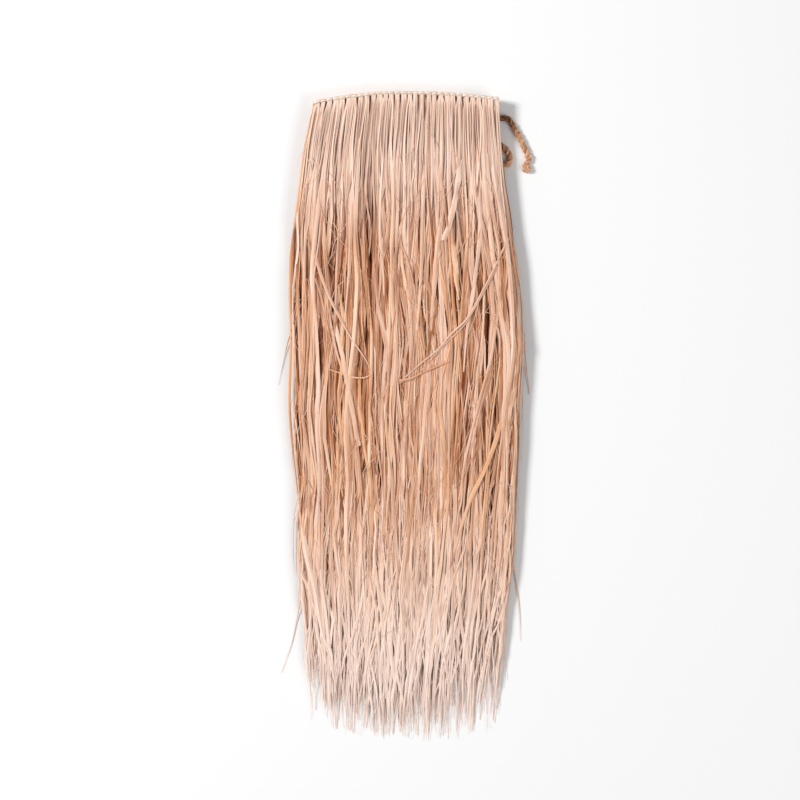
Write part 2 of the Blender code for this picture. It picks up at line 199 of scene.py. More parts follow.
def waist_edge(x):
    """The waist's arched top edge."""
    left = LEFT_ARCH * (x / SECTIONS[0].left) ** 2
    right = RIGHT_ARCH * (x / SECTIONS[0].right) ** 2
    return WAIST_Y - np.where(x < 0, left, right)


def hem_at(part):
    """How far down the longest ribbons end, by their place across the skirt."""
    left = LEFT_CORNER * np.clip(1 - 2 * part, 0, 1) ** 3
    right = RIGHT_CORNER * np.clip(2 * part - 1, 0, 1) ** 8
    return LONGEST_TIP - left - right


def support_height(x, down):
    """The rounded top of the three lower rows, falling to the floor outside the outline."""
    edge = at("edge", down)
    inside = np.minimum(x - at("left", down), at("right", down) - x)
    part = np.clip(inside / EDGE_ROUND, 0.0, 1.0)
    rounded = mix(edge, at("top", down), np.sqrt(1 - (1 - part) ** 2))
    return np.where(inside < 0, np.maximum(edge + inside, 0.0004), rounded)


def front_stack(x, down):
    """Thickness of the two front layers, thinning out past the outline."""
    thickness = mix(ROOT_THICKNESS, TIP_THICKNESS, np.clip(down / LONGEST_TIP, 0, 1))
    inside = np.minimum(x - at("left", down), at("right", down) - x)
    return (2 * thickness + STRAND_LIFT) * np.clip(1 + inside / 0.008, 0.1, 1.0)


def seen_at(u, v):
    """The place across and along of a pixel of the photograph."""
    return (u - ORIGIN_U) * PIXEL, (ORIGIN_V - v) * PIXEL


# Strands as meshes

class Bundle:
    """Strands gathered into one mesh, with the maps that its material reads and one laid out for
    baking.
    """

    def __init__(self):
        self.points = []
        self.faces = []
        self.across = []
        self.along = []
        self.column = []
        self.length_part = []
        self.tones = []
        self.cut = None       # width, length and area of its ribbons laid side by side
        self.point_count = 0
        self.strand_count = 0

    def add(self, rings, across, along, tones):
        """rings: strand, station, ring point, 3. across: 0 to 1 for each ring point.
        along: metres for each strand and station. tones: strand, station, 3."""
        strands, stations, sides = rings.shape[:3]
        shape = (strands, stations, sides)
        index = np.arange(strands * stations * sides).reshape(shape) + self.point_count
        ahead = np.roll(index, -1, axis=2)
        walls = (index[:, 1:], ahead[:, 1:], ahead[:, :-1], index[:, :-1])
        self.faces += np.stack(walls, -1).reshape(-1, 4).tolist()
        self.faces += index[:, 0].tolist()
        self.faces += index[:, -1, ::-1].tolist()
        self.points.append(rings.reshape(-1, 3))
        column = np.arange(strands)[:, None, None] + self.strand_count
        length_part = np.linspace(0, 1, stations)[None, :, None]
        for rows, values in ((self.across, across), (self.along, along[:, :, None]),
                             (self.column, column), (self.length_part, length_part)):
            rows.append(np.broadcast_to(values, shape).ravel())
        repeated = np.broadcast_to(tones[:, :, None, :], (*shape, 3))
        self.tones.append(repeated.reshape(-1, 3))
        self.point_count += strands * stations * sides
        self.strand_count += strands

    def mesh(self, name, finish, sharp=35):
        data = bpy.data.meshes.new(name)
        data.from_pydata(np.concatenate(self.points), [], self.faces)
        corner = np.empty(len(data.loops), dtype=np.int32)
        data.loops.foreach_get("vertex_index", corner)
        across = np.concatenate(self.across)
        strand_map = np.stack([across, np.concatenate(self.along)], -1)
        column = (np.concatenate(self.column) + 0.1 + 0.8 * across) / self.strand_count
        bake_map = np.stack([column, 0.004 + 0.992 * np.concatenate(self.length_part)], -1)
        for map_name, places in (("Strand", strand_map), ("OFBake", bake_map)):
            layer = data.uv_layers.new(name=map_name)
            layer.data.foreach_set("uv", places[corner].astype(np.float32).ravel())
        tones = np.concatenate(self.tones)
        rgba = np.concatenate([tones, np.ones((len(tones), 1))], axis=1)
        layer = data.color_attributes.new("tone", "FLOAT_COLOR", "POINT")
        layer.data.foreach_set("color", rgba.astype(np.float32).ravel())
        data.shade_smooth()
        data.set_sharp_from_angle(angle=math.radians(sharp))
        data.materials.append(finish)
        item = bpy.data.objects.new(name, data)
        bpy.context.scene.collection.objects.link(item)
        return item


def unit(vectors):
    return vectors / np.maximum(np.linalg.norm(vectors, axis=-1, keepdims=True), 1e-9)


def path_lengths(centres):
    steps = np.linalg.norm(np.diff(centres, axis=1), axis=-1)
    start = np.zeros((len(centres), 1))
    return np.concatenate([start, np.cumsum(steps, axis=1)], axis=1)


def ribbon_rings(centres, width, crown, roll, wide, flat_lying=False):
    """Cross-sections of thin strips. crown: how far the middle stands up, as a part of the
    width. roll: turn about the strip's own line. wide: a finer section, for broad strips."""
    tangent = unit(np.gradient(centres, axis=1))
    if flat_lying:
        side = unit(np.cross(np.array([0.0, 0.0, 1.0]), tangent))
    else:
        aim = np.array([1.0, 0.0, 0.0])
        side = unit(aim - tangent * tangent[..., :1])
    normal = np.cross(tangent, side)
    turn = roll[..., None]
    rolled_side = side * np.cos(turn) + normal * np.sin(turn)
    rolled_normal = normal * np.cos(turn) - side * np.sin(turn)
    if wide:
        across = np.array([0.0, 0.2, 0.5, 0.8, 1.0, 0.8, 0.5, 0.2])
        face = np.array([0, 1, 1, 1, 0, -1, -1, -1])
    else:
        across = np.array([0.0, 0.5, 1.0, 0.5])
        face = np.array([0, 1, 0, -1])
    arch = 0.6 - np.abs(2 * across - 1) ** 1.4
    sideways = width[..., None] * (across - 0.5)
    upwards = (width * crown)[..., None] * arch + face * RIBBON_THICKNESS / 2
    rings = centres[:, :, None, :] + sideways[..., None] * rolled_side[:, :, None, :]
    rings = rings + upwards[..., None] * rolled_normal[:, :, None, :]
    lowest = rings[..., 2].min(axis=2)
    rings[..., 2] += np.maximum(FLOOR_ROOM - lowest, 0.0)[..., None]
    return rings, across


def add_strips(bundle, centres, width, crown, roll, tones, wide=False, flat_lying=False):
    rings, across = ribbon_rings(centres, width, crown, roll, wide, flat_lying)
    bundle.add(rings, across, path_lengths(centres), tones)


def add_ribbons(bundle, full, centres, width, crown, roll, tones):
    """Adds ribbons of the given full widths, the broad ones with the finer section."""
    for wide in (False, True):
        chosen = (full[:, 0] > BROAD_RIBBON) == wide
        add_strips(bundle, centres[chosen], width[chosen], crown[chosen], roll[chosen],
                   tones[chosen], wide)


def waves(chance, strands, part, sizes, turns):
    """Slow sideways waves, each strand with its own phases."""
    total = np.zeros((strands, part.shape[-1]))
    for size, turn in zip(sizes, turns):
        height = size * chance.uniform(0.3, 1.6, (strands, 1))
        rate = turn * chance.uniform(0.7, 1.3, (strands, 1))
        phase = chance.random((strands, 1))
        total += height * np.sin(2 * np.pi * (rate * part + phase))
    return total


def kinks(chance, strands, part, size, bends):
    """Sideways offsets that run straight between a few bends."""
    places = (np.arange(bends) + chance.uniform(0.15, 0.85, (strands, bends))) / bends
    sizes = chance.normal(0, size, (strands, bends))
    rows = [np.interp(part[0], place, offset) for place, offset in zip(places, sizes)]
    return np.array(rows)


def stations_down(count):
    """Parts of a ribbon's length: close together at the waist, then at even steps."""
    near = np.array([0.0, 0.004, 0.009, 0.016, 0.026, 0.041, 0.062])
    return np.concatenate([near, np.linspace(0.088, 1.0, count)])[None, :]


def pale_tips_and_glare(down):
    """How far the strands are painted paler: towards the hem, partly the tips' own paler colour and
    partly painted glare, a haze of reflected light, and a little just below the waist, painted
    glare alone.
    """
    part = np.clip(down / LONGEST_TIP, 0.0, 1.0)
    return smoothstep(0.58, 0.96, part) + 0.5 * (1 - smoothstep(0.08, 0.27, part))


def tone_rows(chance, tone, part, drift=0.10, hues=(0.0, 1.0), down=0.3):
    """Tone, a number of its own and how far it is painted paler, by pale tips and painted glare,
    for each station of each strand. The number sets the strand's hue, from orange to pink and
    cream."""
    strands = len(tone)
    varied = tone[:, None] + waves(chance, strands, part, (drift, drift / 2), (1.3, 4.0))
    own = np.broadcast_to(chance.uniform(*hues, (strands, 1)), varied.shape)
    return np.stack([varied, own, np.broadcast_to(pale_tips_and_glare(down), varied.shape)], axis=-1)


def ribbon_widths(chance, strands, wide_share):
    """Mostly narrow ribbons, some medium and a few broad ones."""
    narrow = chance.uniform(0.0010, 0.0022, strands)
    medium = chance.uniform(0.0022, 0.0034, strands)
    broad = chance.uniform(0.0036, 0.0056, strands)
    pick = chance.random(strands)
    return np.where(pick < wide_share, broad, np.where(pick < wide_share + 0.34, medium, narrow))


def ribbon_tones(chance, tone, spread, full):
    """One tone for each ribbon: they differ, and the broad ones are a little paler."""
    broader = np.where(full[:, 0] > BROAD_RIBBON, 0.06, 0.0)
    return tone + chance.normal(0, spread, len(full)) + broader


# The rows of hanks

# One leg of a row: which folded row from the bottom, whether it is the over leg, its seed, ribbons
# to a hank, stations, the share of broad ribbons, the tone of its highest ribbons, how much darker
# its lowest are, how far its outline is drawn in, and how far the lengths differ. The dark tones of
# the lower rows and under legs, and the darkening of the lowest ribbons, are painted shade between
# the layers.
Leg = namedtuple("Leg", "name row over seed ribbons stations broad tone fall inset ragged")
LEGS = (
    Leg("bottom_row_under_legs", 0, False, 31, 7, 32, 0.10, 0.46, 0.00, 0.0010, 0.130),
    Leg("bottom_row_over_legs", 0, True, 32, 6, 26, 0.08, 0.34, 0.10, 0.0022, 0.140),
    Leg("second_row_under_legs", 1, False, 33, 5, 20, 0.06, 0.20, 0.10, 0.0030, 0.140),
    Leg("second_row_over_legs", 1, True, 34, 6, 20, 0.06, 0.16, 0.10, 0.0022, 0.140),
    Leg("third_row_under_legs", 2, False, 35, 5, 20, 0.06, 0.12, 0.10, 0.0026, 0.140),
    Leg("third_row_over_legs", 2, True, 36, 7, 30, 0.10, 0.12, 0.12, 0.0016, 0.150),
    Leg("front_under_legs_ribbons", 3, False, 37, 8, 40, 0.12, 0.26, 0.24, 0.0006, 0.150),
    Leg("front_over_legs_ribbons", 3, True, 38, 9, 46, 0.15, 0.60, 0.50, 0.0000, 0.160),
)
FRONT_ROW = 3


def run_height(row):
    return FIRST_RUN + RUN_PITCH * row


def row_shift(row):
    """How far a row's hanks stand aside from the next row's, as a part of a hank's room."""
    return 0.25 if row % 2 else -0.25


def row_ends(row, inset):
    """Where a row of hanks begins and ends across the waist."""
    back = SECTIONS[0].drawn_back if row < 2 else 0.0
    return SECTIONS[0].left + inset, SECTIONS[0].right - inset - back


def leg_outline(leg, down):
    """A leg's left and right outline, drawn in a little where the skirt's sides are hollow."""
    drawn_in = 0.0025 if leg.row == FRONT_ROW and leg.over else 0.0050
    left = at("left", down) + leg.inset + drawn_in * bump((down - 0.295) / 0.13)
    right = at("right", down) - leg.inset - drawn_in * bump((down - 0.235) / 0.11)
    if leg.row < 2:
        right = right - at("drawn_back", down)
    return left, right


def kept_inside(x, left, right):
    """Folds what runs past the outline back inside."""
    share = (x - left) / (right - left)
    past_right = 1 + FOLDED_BACK - FOLDED_BACK * share
    share = np.where(share < 0, -FOLDED_BACK * share, np.where(share > 1, past_right, share))
    return mix(left, right, share)


def sway(part, down):
    """How far the strands lean across, by their place across the skirt."""
    lean = -LEAN * bump((part - 0.70) / 0.26) * smoothstep(0.02, 0.27, down)
    spread = EDGE_SPREAD * bump((part - 0.93) / 0.09) * smoothstep(0.10, 0.24, down)
    return lean + spread


def parted(x, down):
    """The narrow slot between the strands at the right: they keep to one side of it."""
    middle = SLOT_X - SLOT_SLOPE * (down - SLOT_DOWN)
    open_part = smoothstep(0.172, 0.215, down) * (1 - smoothstep(0.262, 0.305, down))
    half = SLOT_HALF * open_part
    side = np.where(np.mean((x - middle) * open_part, axis=1, keepdims=True) > 0, 1.0, -1.0)
    away = (x - middle) * side
    softness = 0.0012
    pushed = half + softness * np.logaddexp(0.0, (away - half) / softness)
    return np.where(open_part > 0.001, middle + side * mix(away, pushed, open_part), x)


def settled(down):
    """The part of their height that the layers keep: they sink together towards the hem."""
    return 1 - SETTLED * smoothstep(0.530, LONGEST_TIP, down)


def leg_height(leg, x, down, rank):
    """The height of a leg's ribbons: rank 0 to 1 from its lowest to its highest."""
    level = (rank + (1.0 if leg.over else 0.0)) / 2
    support = support_height(x, down)
    if leg.row == FRONT_ROW:
        height = support + front_stack(x, down) * level
    else:
        height = support * (leg.row + level) / FRONT_ROW
    return height * settled(down)


def tip_distances(leg, chance, open_part):
    """How far down each ribbon ends: few reach the hem, fewest at its two corners, and some
    are broken off higher up."""
    left_corner = 1 - smoothstep(0.04, 0.22, open_part)
    right_corner = smoothstep(0.62, 0.95, open_part)
    corners = 0.45 * right_corner + 0.30 * left_corner
    count = len(open_part)
    short = leg.ragged * (1 + corners) * chance.random(count) ** 0.90
    broken = chance.random(count) < BROKEN_SHARE
    short = np.where(broken, chance.uniform(*BROKEN_OFF, count), short)
    return hem_at(open_part) - short


def strayed(chance, hank, open_part, part, below_edge):
    """How far each ribbon strays across: by its place in the hank, the waves of the hank and
    its own, its kinks, and a bend near its tip."""
    count = len(hank)
    spread = chance.normal(0, 0.0034, (count, 1))
    crossing = chance.normal(0, 0.0094, (count, 1)) * smoothstep(0.06, 0.56, below_edge)
    hank_waves = waves(chance, HANKS, part, (0.0034, 0.0018), (1.2, 3.4))[hank]
    own_waves = waves(chance, count, part, (0.0020,), (1.2,))
    own_waves += kinks(chance, count, part, 0.0027, 9) + kinks(chance, count, part, 0.0005, 22)
    own_waves += kinks(chance, count, part, 0.0034, 8) * smoothstep(0.60, 0.90, part)
    tip_bend = chance.normal(0, 0.0125, (count, 1)) * smoothstep(0.66, 1.0, part) ** 1.5
    calm = 1 - 0.7 * np.abs(2 * open_part[:, None] - 1) ** 8
    grown = smoothstep(0.012, 0.16, below_edge)
    return ((spread + hank_waves + own_waves) * grown + crossing + tip_bend) * calm


def with_loop(value, rows):
    """Rows of stations with those of the loop over the cord set before them."""
    return np.concatenate([np.full((len(rows), WRAP_STEPS - 1), value), rows], axis=1)


def leg_lines(leg, chance):
    """The middle lines of a leg's ribbons, and what their shapes and tones go by: the part of
    the length and the distance below the waist's edge at each station, the ribbon's place
    across the skirt, its rank from the lowest to the highest, and its level on its way."""
    count = HANKS * leg.ribbons
    hank = np.repeat(np.arange(HANKS), leg.ribbons)
    place = (np.tile(np.arange(leg.ribbons), HANKS) + 0.5) / leg.ribbons - 0.5
    layer = np.tile(np.arange(leg.ribbons) % 3, HANKS)
    middle = (np.arange(HANKS) + 0.5 + row_shift(leg.row) + chance.normal(0, 0.09, HANKS))[hank]
    neck_share = (NECK_SHARE * chance.uniform(0.80, 1.25, HANKS))[hank]
    neck_part = (middle + neck_share * place) / HANKS
    open_part = np.clip((middle + OPEN_SHARE * place) / HANKS, 0.002, 0.998)
    tip_down = tip_distances(leg, chance, open_part)

    # along and across: from the neck the hanks open to their ribbons' own places
    part = stations_down(leg.stations)
    root_x = mix(*row_ends(leg.row, leg.inset), neck_part)
    root_y = waist_edge(root_x) - CORD_TOP_ROOM - CORD_RADIUS
    y = mix(root_y[:, None], (WAIST_Y - tip_down)[:, None], part)
    down = np.maximum(WAIST_Y - y, SECTIONS[0].down)
    below_edge = root_y[:, None] + CORD_TOP_ROOM + CORD_RADIUS - y
    hank_reach = chance.uniform(0.010, 0.024, HANKS) + 0.024 * (chance.random(HANKS) < 0.2)
    opened = smoothstep(0.0045, hank_reach[hank][:, None], below_edge)
    own_part = mix(neck_part[:, None], open_part[:, None], opened)
    left, right = leg_outline(leg, down)
    sideways = strayed(chance, hank, open_part, part, below_edge)
    x = mix(left, right, own_part) + sideways + sway(own_part, down)
    x = kept_inside(x, left, right)
    if leg.row == FRONT_ROW:
        x = parted(x, down)

    # height: out of the loop, pinched by the binding, then up to the leg's own level
    rank = chance.random((count, 1))
    level = np.clip(rank + waves(chance, count, part, (0.16, 0.09), (1.4, 4.0)), 0.0, 1.0)
    height = leg_height(leg, x, down, level)
    sign = 1.0 if leg.over else -1.0
    wrap_radius = (CORD_RADIUS - LOOP_SUNK + RIBBON_THICKNESS * layer)[:, None]
    run = run_height(leg.row)
    pinched = run + sign * (0.0008 + 0.0005 * rank)
    near = smoothstep(0.0021, NECK_DOWN, below_edge)
    far = smoothstep(NECK_DOWN, 0.032, below_edge)
    z = mix(mix(run + sign * wrap_radius, pinched, near), height, far)

    centres = np.stack([x, y, z], axis=-1)
    if leg.over:
        angle = np.linspace(-np.pi / 2, np.pi / 2, WRAP_STEPS)[:-1]
        wrap_x = np.broadcast_to(root_x[:, None], (count, len(angle)))
        wrap_y = root_y[:, None] + wrap_radius * np.cos(angle)
        wrap_z = run + wrap_radius * np.sin(angle)
        centres = np.concatenate([np.stack([wrap_x, wrap_y, wrap_z], -1), centres], axis=1)
        part = with_loop(0.0, part)
        below_edge = with_loop(0.0, below_edge)
        level = with_loop(1.0, level)
    return centres, part, below_edge, open_part, rank, level


def at_left(open_part):
    """1 at the skirt's left, falling to 0 at its middle."""
    return 1 - smoothstep(0.16, 0.48, open_part[:, None])


def ribbon_shapes(leg, chance, part, below_edge, open_part):
    """The full width of each ribbon, and its width, crease and roll at each station."""
    count = len(open_part)
    full = ribbon_widths(chance, count, leg.broad)[:, None] * (1 - 0.15 * at_left(open_part))
    neck = np.minimum(full, NECK_WIDTH)
    widened = smoothstep(0.006, chance.uniform(0.09, 0.22, (count, 1)), below_edge)
    taper_length = chance.uniform(0.08, 0.44, (count, 1))
    tip = np.clip((1 - part) / taper_length, 0.0, 1.0) ** 0.8
    tip = np.maximum(tip, chance.uniform(0.08, 0.26, (count, 1)))
    uneven = 1 + waves(chance, count, part, (0.08, 0.06), (3.0, 8.0))
    width = mix(neck, full, widened) * tip * uneven
    creased = chance.random((count, 1)) < 0.50
    crown = np.where(creased, chance.uniform(0.14, 0.36, (count, 1)), 0.06)
    crown = crown * np.where(chance.random((count, 1)) < 0.4, -1.0, 1.0)
    loose = smoothstep(0.010, 0.060, below_edge)
    near_floor = 0.25 if leg.row == 0 and not leg.over else 1.0
    roll = near_floor * loose * waves(chance, count, part, (0.34, 0.26), (1.4, 4.2))
    flips = chance.random((count, 1)) < (0.0 if leg.row == 0 else 0.35)
    flip_place = chance.uniform(0.15, 0.90, (count, 1))
    flip = np.pi * smoothstep(-0.045, 0.045, part - flip_place)
    roll = roll + np.where(flips, flip, 0.0)
    bunched = smoothstep(0.003, 0.012, below_edge) * (1 - smoothstep(0.02, 0.09, below_edge))
    roll = roll + near_floor * chance.normal(0, 0.50, (count, 1)) * bunched
    return full, width, crown, roll


def leg_tones(leg, chance, full, part, below_edge, open_part, rank, level):
    """The lower a ribbon lies the darker it is, as painted shade, but its loop and tip are paler.
    On top of that the skirt is paler under the waist, as painted glare, and paler towards the hem,
    and darker down its left side."""
    tone = ribbon_tones(chance, leg.tone, 0.16, full)
    # the lower rows keep to orange hues, so that their painted shade looks a warm brown
    hues = (0.0, 1.0) if leg.row == FRONT_ROW else (0.0, 0.7)
    tones = tone_rows(chance, tone, part, hues=hues, down=below_edge)
    # painted shade: the lower a ribbon lies under the others, the darker it is painted
    painted_depth_shade = 1 - smoothstep(0.05, 0.75, mix(rank, level, 0.6))
    at_tip = smoothstep(0.70, 0.97, part)
    at_loop = 1 - smoothstep(0.004, 0.014, below_edge)
    tones[..., 0] -= leg.fall * painted_depth_shade * (1 - 0.8 * at_tip) * (1 - at_loop)
    # the lower rows' tips stay darker: painted shade as well
    tip_tone = 0.78 if leg.row == FRONT_ROW else 0.58
    paling = 1.0 if leg.row == FRONT_ROW else 0.4
    tones[..., 0] += max(tip_tone - leg.tone, 0.0) * at_tip + max(1.00 - leg.tone, 0.0) * at_loop
    # painted glare: the strands just below the waist are made paler, as under a haze of reflected
    # light
    tones[..., 0] += 0.18 * (1 - smoothstep(0.06, 0.15, below_edge))
    tones[..., 0] += paling * 0.05 * smoothstep(0.28, 0.42, below_edge)
    tones[..., 0] += paling * 0.12 * smoothstep(0.43, 0.53, below_edge)
    left_middle = at_left(open_part) * bump((below_edge - 0.28) / 0.28) ** 0.5
    tones[..., 0] -= paling ** 2 * 0.34 * left_middle
    return tones


def leg_bundle(leg):
    """A leg's ribbons as one mesh, and what their flat cut measures."""
    chance = np.random.default_rng(leg.seed)
    centres, part, below_edge, open_part, rank, level = leg_lines(leg, chance)
    full, width, crown, roll = ribbon_shapes(leg, chance, part, below_edge, open_part)
    tones = leg_tones(leg, chance, full, part, below_edge, open_part, rank, level)
    bundle = Bundle()
    add_ribbons(bundle, full, centres, width, crown, roll, tones)
    lengths = path_lengths(centres)
    areas = np.diff(lengths, axis=1) * (width[:, 1:] + width[:, :-1]) / 2
    bundle.cut = (float(full.sum()), float(lengths[:, -1].mean()), float(areas.sum()))
    return bundle


# Ribbons and fibres that lie loose on the front

def smooth_points(places, count):
    """Points at even steps on a smooth curve through the given places."""
    knots = np.array(places, dtype=float)
    ends = np.concatenate([[2 * knots[0] - knots[1]], knots, [2 * knots[-1] - knots[-2]]])
    t = np.linspace(0, 1, 20, endpoint=False)[:, None]
    fine = []
    for a, b, c, d in zip(ends, ends[1:], ends[2:], ends[3:]):
        bend = (a * 2 - b * 5 + c * 4 - d) * t ** 2 + (b * 3 - a - c * 3 + d) * t ** 3
        fine.append((b * 2 + (c - a) * t + bend) / 2)
    fine = np.concatenate(fine + [knots[-1:]])
    lengths = path_lengths(fine[None])[0]
    even = np.linspace(0, lengths[-1], count)
    return np.stack([np.interp(even, lengths, column) for column in fine.T], axis=-1)


# Loose ribbons that the photograph shows one by one: width at the middle and at the end, tone,
# height over the front, places as pixels of the photograph, and whether the first place is a
# torn end on top of the others instead of where the ribbon comes out from between them.
Loose = namedtuple("Loose", "width end tone lift places torn", defaults=(False,))
LOOSE_RIBBONS = (
    Loose(3.4, 1.5, 0.66, 0.3, ((311, 116), (303, 160), (297, 212), (291, 255), (290, 300),
          (291, 340), (289, 400), (292, 445), (297, 490), (303, 530))),
    Loose(1.0, 0.3, 0.40, 0.2, ((306, 292), (296, 318), (288, 340), (283, 362), (278, 385))),
    Loose(3.2, 1.0, 0.70, 1.6, ((309, 240), (315, 255), (326, 289), (349, 334), (366, 360),
          (371, 371))),
    Loose(1.5, 0.8, 0.92, 2.2, ((371, 375), (363, 378), (352, 377), (340, 373), (325, 368)), True),
    Loose(1.9, 0.9, 0.90, 2.0, ((515, 226), (499, 258), (487, 283), (467, 318), (452, 333),
          (438, 349), (419, 365), (400, 382))),
    Loose(1.3, 0.7, 0.66, 1.7, ((513, 239), (498, 266), (484, 292), (465, 324), (447, 342),
          (428, 362), (412, 384))),
    Loose(1.3, 2.6, 0.70, 2.2, ((449, 362), (438, 366), (424, 372), (412, 378), (399, 381)), True),
    Loose(5.4, 1.6, 0.86, 1.1, ((300, 512), (303, 535), (309, 566), (315, 590), (319, 615),
          (324, 640), (331, 652), (333, 680))),
    Loose(4.4, 4.6, 0.72, 1.3, ((332, 312), (340, 345), (346, 375), (351, 405), (359, 446))),
    Loose(5.4, 6.4, 0.80, 0.9, ((461, 160), (456, 195), (449, 225), (444, 241))),
    Loose(6.2, 2.2, 0.78, 0.7, ((452, 243), (454, 256), (456, 276), (459, 300)), True),
    Loose(4.3, 1.6, 0.76, 1.2, ((508, 398), (498, 432), (488, 462), (469, 503), (458, 540),
          (449, 575))),
    Loose(3.2, 1.8, 0.70, 1.1, ((500, 300), (496, 325), (490, 362), (478, 406), (466, 456),
          (459, 500))),
    Loose(5.0, 2.2, 0.74, 0.7, ((431, 340), (428, 384), (424, 430), (420, 468), (417, 520))),
    Loose(4.6, 2.0, 0.76, 0.7, ((392, 150), (394, 197), (392, 257), (390, 324), (388, 380))),
    Loose(4.2, 2.2, 0.74, 0.8, ((478, 180), (480, 215), (479, 245), (473, 292), (467, 330),
          (463, 372))),
    Loose(4.2, 2.0, 0.66, 0.7, ((424, 165), (423, 200), (421, 275), (417, 330))),
    Loose(5.4, 2.6, 0.72, 0.8, ((443, 205), (440, 225), (436, 262), (433, 300), (431, 345))),
    Loose(3.6, 1.6, 0.68, 0.7, ((352, 190), (351, 225), (349, 275), (344, 330))),
    Loose(3.8, 2.0, 0.72, 0.8, ((337, 430), (338, 470), (336, 510), (333, 548))),
    Loose(3.8, 1.6, 0.34, 1.0, ((515, 500), (514, 535), (511, 572), (504, 600), (496, 622))),
    Loose(1.8, 0.8, 0.80, 1.4, ((511, 240), (517, 268), (522, 300), (524, 340), (527, 368),
          (530, 394))),
    Loose(2.2, 1.2, 0.92, 1.8, ((508, 220), (515, 250), (521, 290), (523, 330), (522, 372),
          (519, 420))),
    Loose(1.2, 0.4, 0.60, 0.3, ((513, 560), (517, 585), (520, 612), (521, 642))),
    Loose(0.9, 0.4, 0.45, 0.2, ((303, 590), (297, 618), (292, 642), (286, 660), (281, 674))),
    Loose(2.8, 1.0, 0.76, 0.9, ((410, 520), (404, 556), (400, 590), (402, 625), (400, 670))),
    Loose(3.2, 1.2, 0.78, 0.9, ((376, 530), (374, 556), (378, 590), (384, 640), (386, 700))),
    Loose(2.6, 1.0, 0.74, 0.9, ((470, 528), (462, 556), (452, 585), (446, 620), (440, 680))),
    Loose(3.0, 1.0, 0.72, 0.8, ((484, 500), (480, 540), (474, 580), (470, 620), (464, 676))),
    Loose(2.2, 0.9, 0.66, 1.1, ((318, 250), (327, 300), (336, 350), (352, 400), (360, 470),
          (366, 540))),
    Loose(1.6, 0.7, 0.60, 1.4, ((309, 262), (322, 300), (331, 342), (336, 374))),
    Loose(1.4, 0.6, 0.64, 1.6, ((401, 244), (408, 262), (414, 288), (417, 310)), True),
    Loose(2.0, 0.8, 0.64, 1.3, ((497, 315), (491, 317), (494, 324), (499, 334), (500, 360)), True),
    Loose(0.8, 0.3, 0.40, 1.2, ((304, 470), (311, 486), (320, 505), (325, 530))),
    Loose(1.0, 0.5, 0.76, 1.6, ((371, 507), (376, 512), (382, 518)), True),
)


def over_front(x, y, lift):
    """Places on top of the front's strands, or on the floor beside them."""
    down = np.maximum(WAIST_Y - y, SECTIONS[0].down)
    return (support_height(x, down) + front_stack(x, down)) * settled(down) + lift


def add_loose_ribbon(bundle, loose, chance, stations=36):
    across, along = seen_at(*smooth_points(loose.places, stations).T)
    part = np.linspace(0, 1, stations)[None, :]
    lift = loose.lift * 0.001 * np.sin(np.linspace(0.12, np.pi - 0.12, stations)) ** 0.5
    if not loose.torn:
        lift = lift - SUNK_START * (1 - smoothstep(0.0, 0.22, part[0]))
    height = over_front(across, along, lift)
    centres = np.stack([across, along, height], axis=-1)[None]
    start = smoothstep(-0.02, 0.12, part)
    end = smoothstep(0.45, 1.0, part)
    width = mix(loose.width, loose.end, end) * PIXEL * mix(0.45, 1.0, start)
    width = width * (1 + waves(chance, 1, part, (0.07, 0.05), (3.0, 7.0)))
    crown = chance.uniform(0.08, 0.30)
    roll = waves(chance, 1, part, (0.20, 0.16), (1.0, 3.6))
    tones = tone_rows(chance, np.array([loose.tone]), part, 0.04, down=WAIST_Y - along)
    add_strips(bundle, centres, width, crown, roll, tones, loose.width > 2.5, True)


def add_wanderers(bundle, chance, count, stations, starts, ragged, astray, broad, tone):
    """Ribbons that leave their hank and cross their neighbours on the way down. starts: how
    far below the waist they come out. ragged: how far their tips end above the hem. astray:
    how far they drift across."""
    start_part = (np.arange(count) + chance.uniform(0.1, 0.9, count)) / count
    start_down = chance.uniform(*starts, count)
    tip_down = hem_at(start_part) - ragged * chance.random(count) ** 1.3
    tip_down = np.minimum(np.maximum(tip_down, start_down + 0.10), hem_at(start_part))
    bendy = np.minimum((tip_down - start_down)[:, None] / 0.36, 1.0)
    part = np.linspace(0, 1, stations)[None, :]
    down = mix(start_down[:, None], tip_down[:, None], part)
    drift = chance.normal(-0.002, astray, (count, 1)) * smoothstep(0.0, 1.0, part)
    left = at("left", down) + 0.001
    right = at("right", down) - 0.001
    x = mix(left, right, start_part[:, None]) + sway(start_part[:, None], down) + drift
    x = x + bendy * waves(chance, count, part, (0.0024,), (0.8,))
    x = x + bendy * kinks(chance, count, part, 0.0026, 5) + kinks(chance, count, part, 0.0004, 12)
    x = parted(kept_inside(x, left, right), down)
    lift = chance.uniform(-0.0002, 0.0009, (count, 1)) - SUNK_START * (1 - smoothstep(0, 0.2, part))
    centres = np.stack([x, WAIST_Y - down, over_front(x, WAIST_Y - down, lift)], axis=-1)
    full = ribbon_widths(chance, count, broad)[:, None]
    tip = np.clip((1 - part) / chance.uniform(0.08, 0.4, (count, 1)), 0.16, 1.0)
    width = full * mix(0.5, 1.0, smoothstep(0.0, 0.12, part)) * tip
    crown = chance.uniform(0.06, 0.36, (count, 1))
    roll = waves(chance, count, part, (0.34, 0.26), (1.4, 3.8)) * smoothstep(0, 0.1, part)
    own_tone = ribbon_tones(chance, tone, 0.15, full)
    tones = tone_rows(chance, np.maximum(own_tone, 0.46), part, down=down)
    add_ribbons(bundle, full, centres, width, crown, roll, tones)


def loose_ribbons():
    chance = np.random.default_rng(51)
    bundle = Bundle()
    add_wanderers(bundle, chance, 110, 44, (0.024, 0.42), 0.34, 0.0085, 0.18, 0.58)
    add_wanderers(bundle, chance, 150, 26, (0.33, 0.49), 0.07, 0.0125, 0.02, 0.76)
    for loose in LOOSE_RIBBONS:
        add_loose_ribbon(bundle, loose, chance)
    return bundle


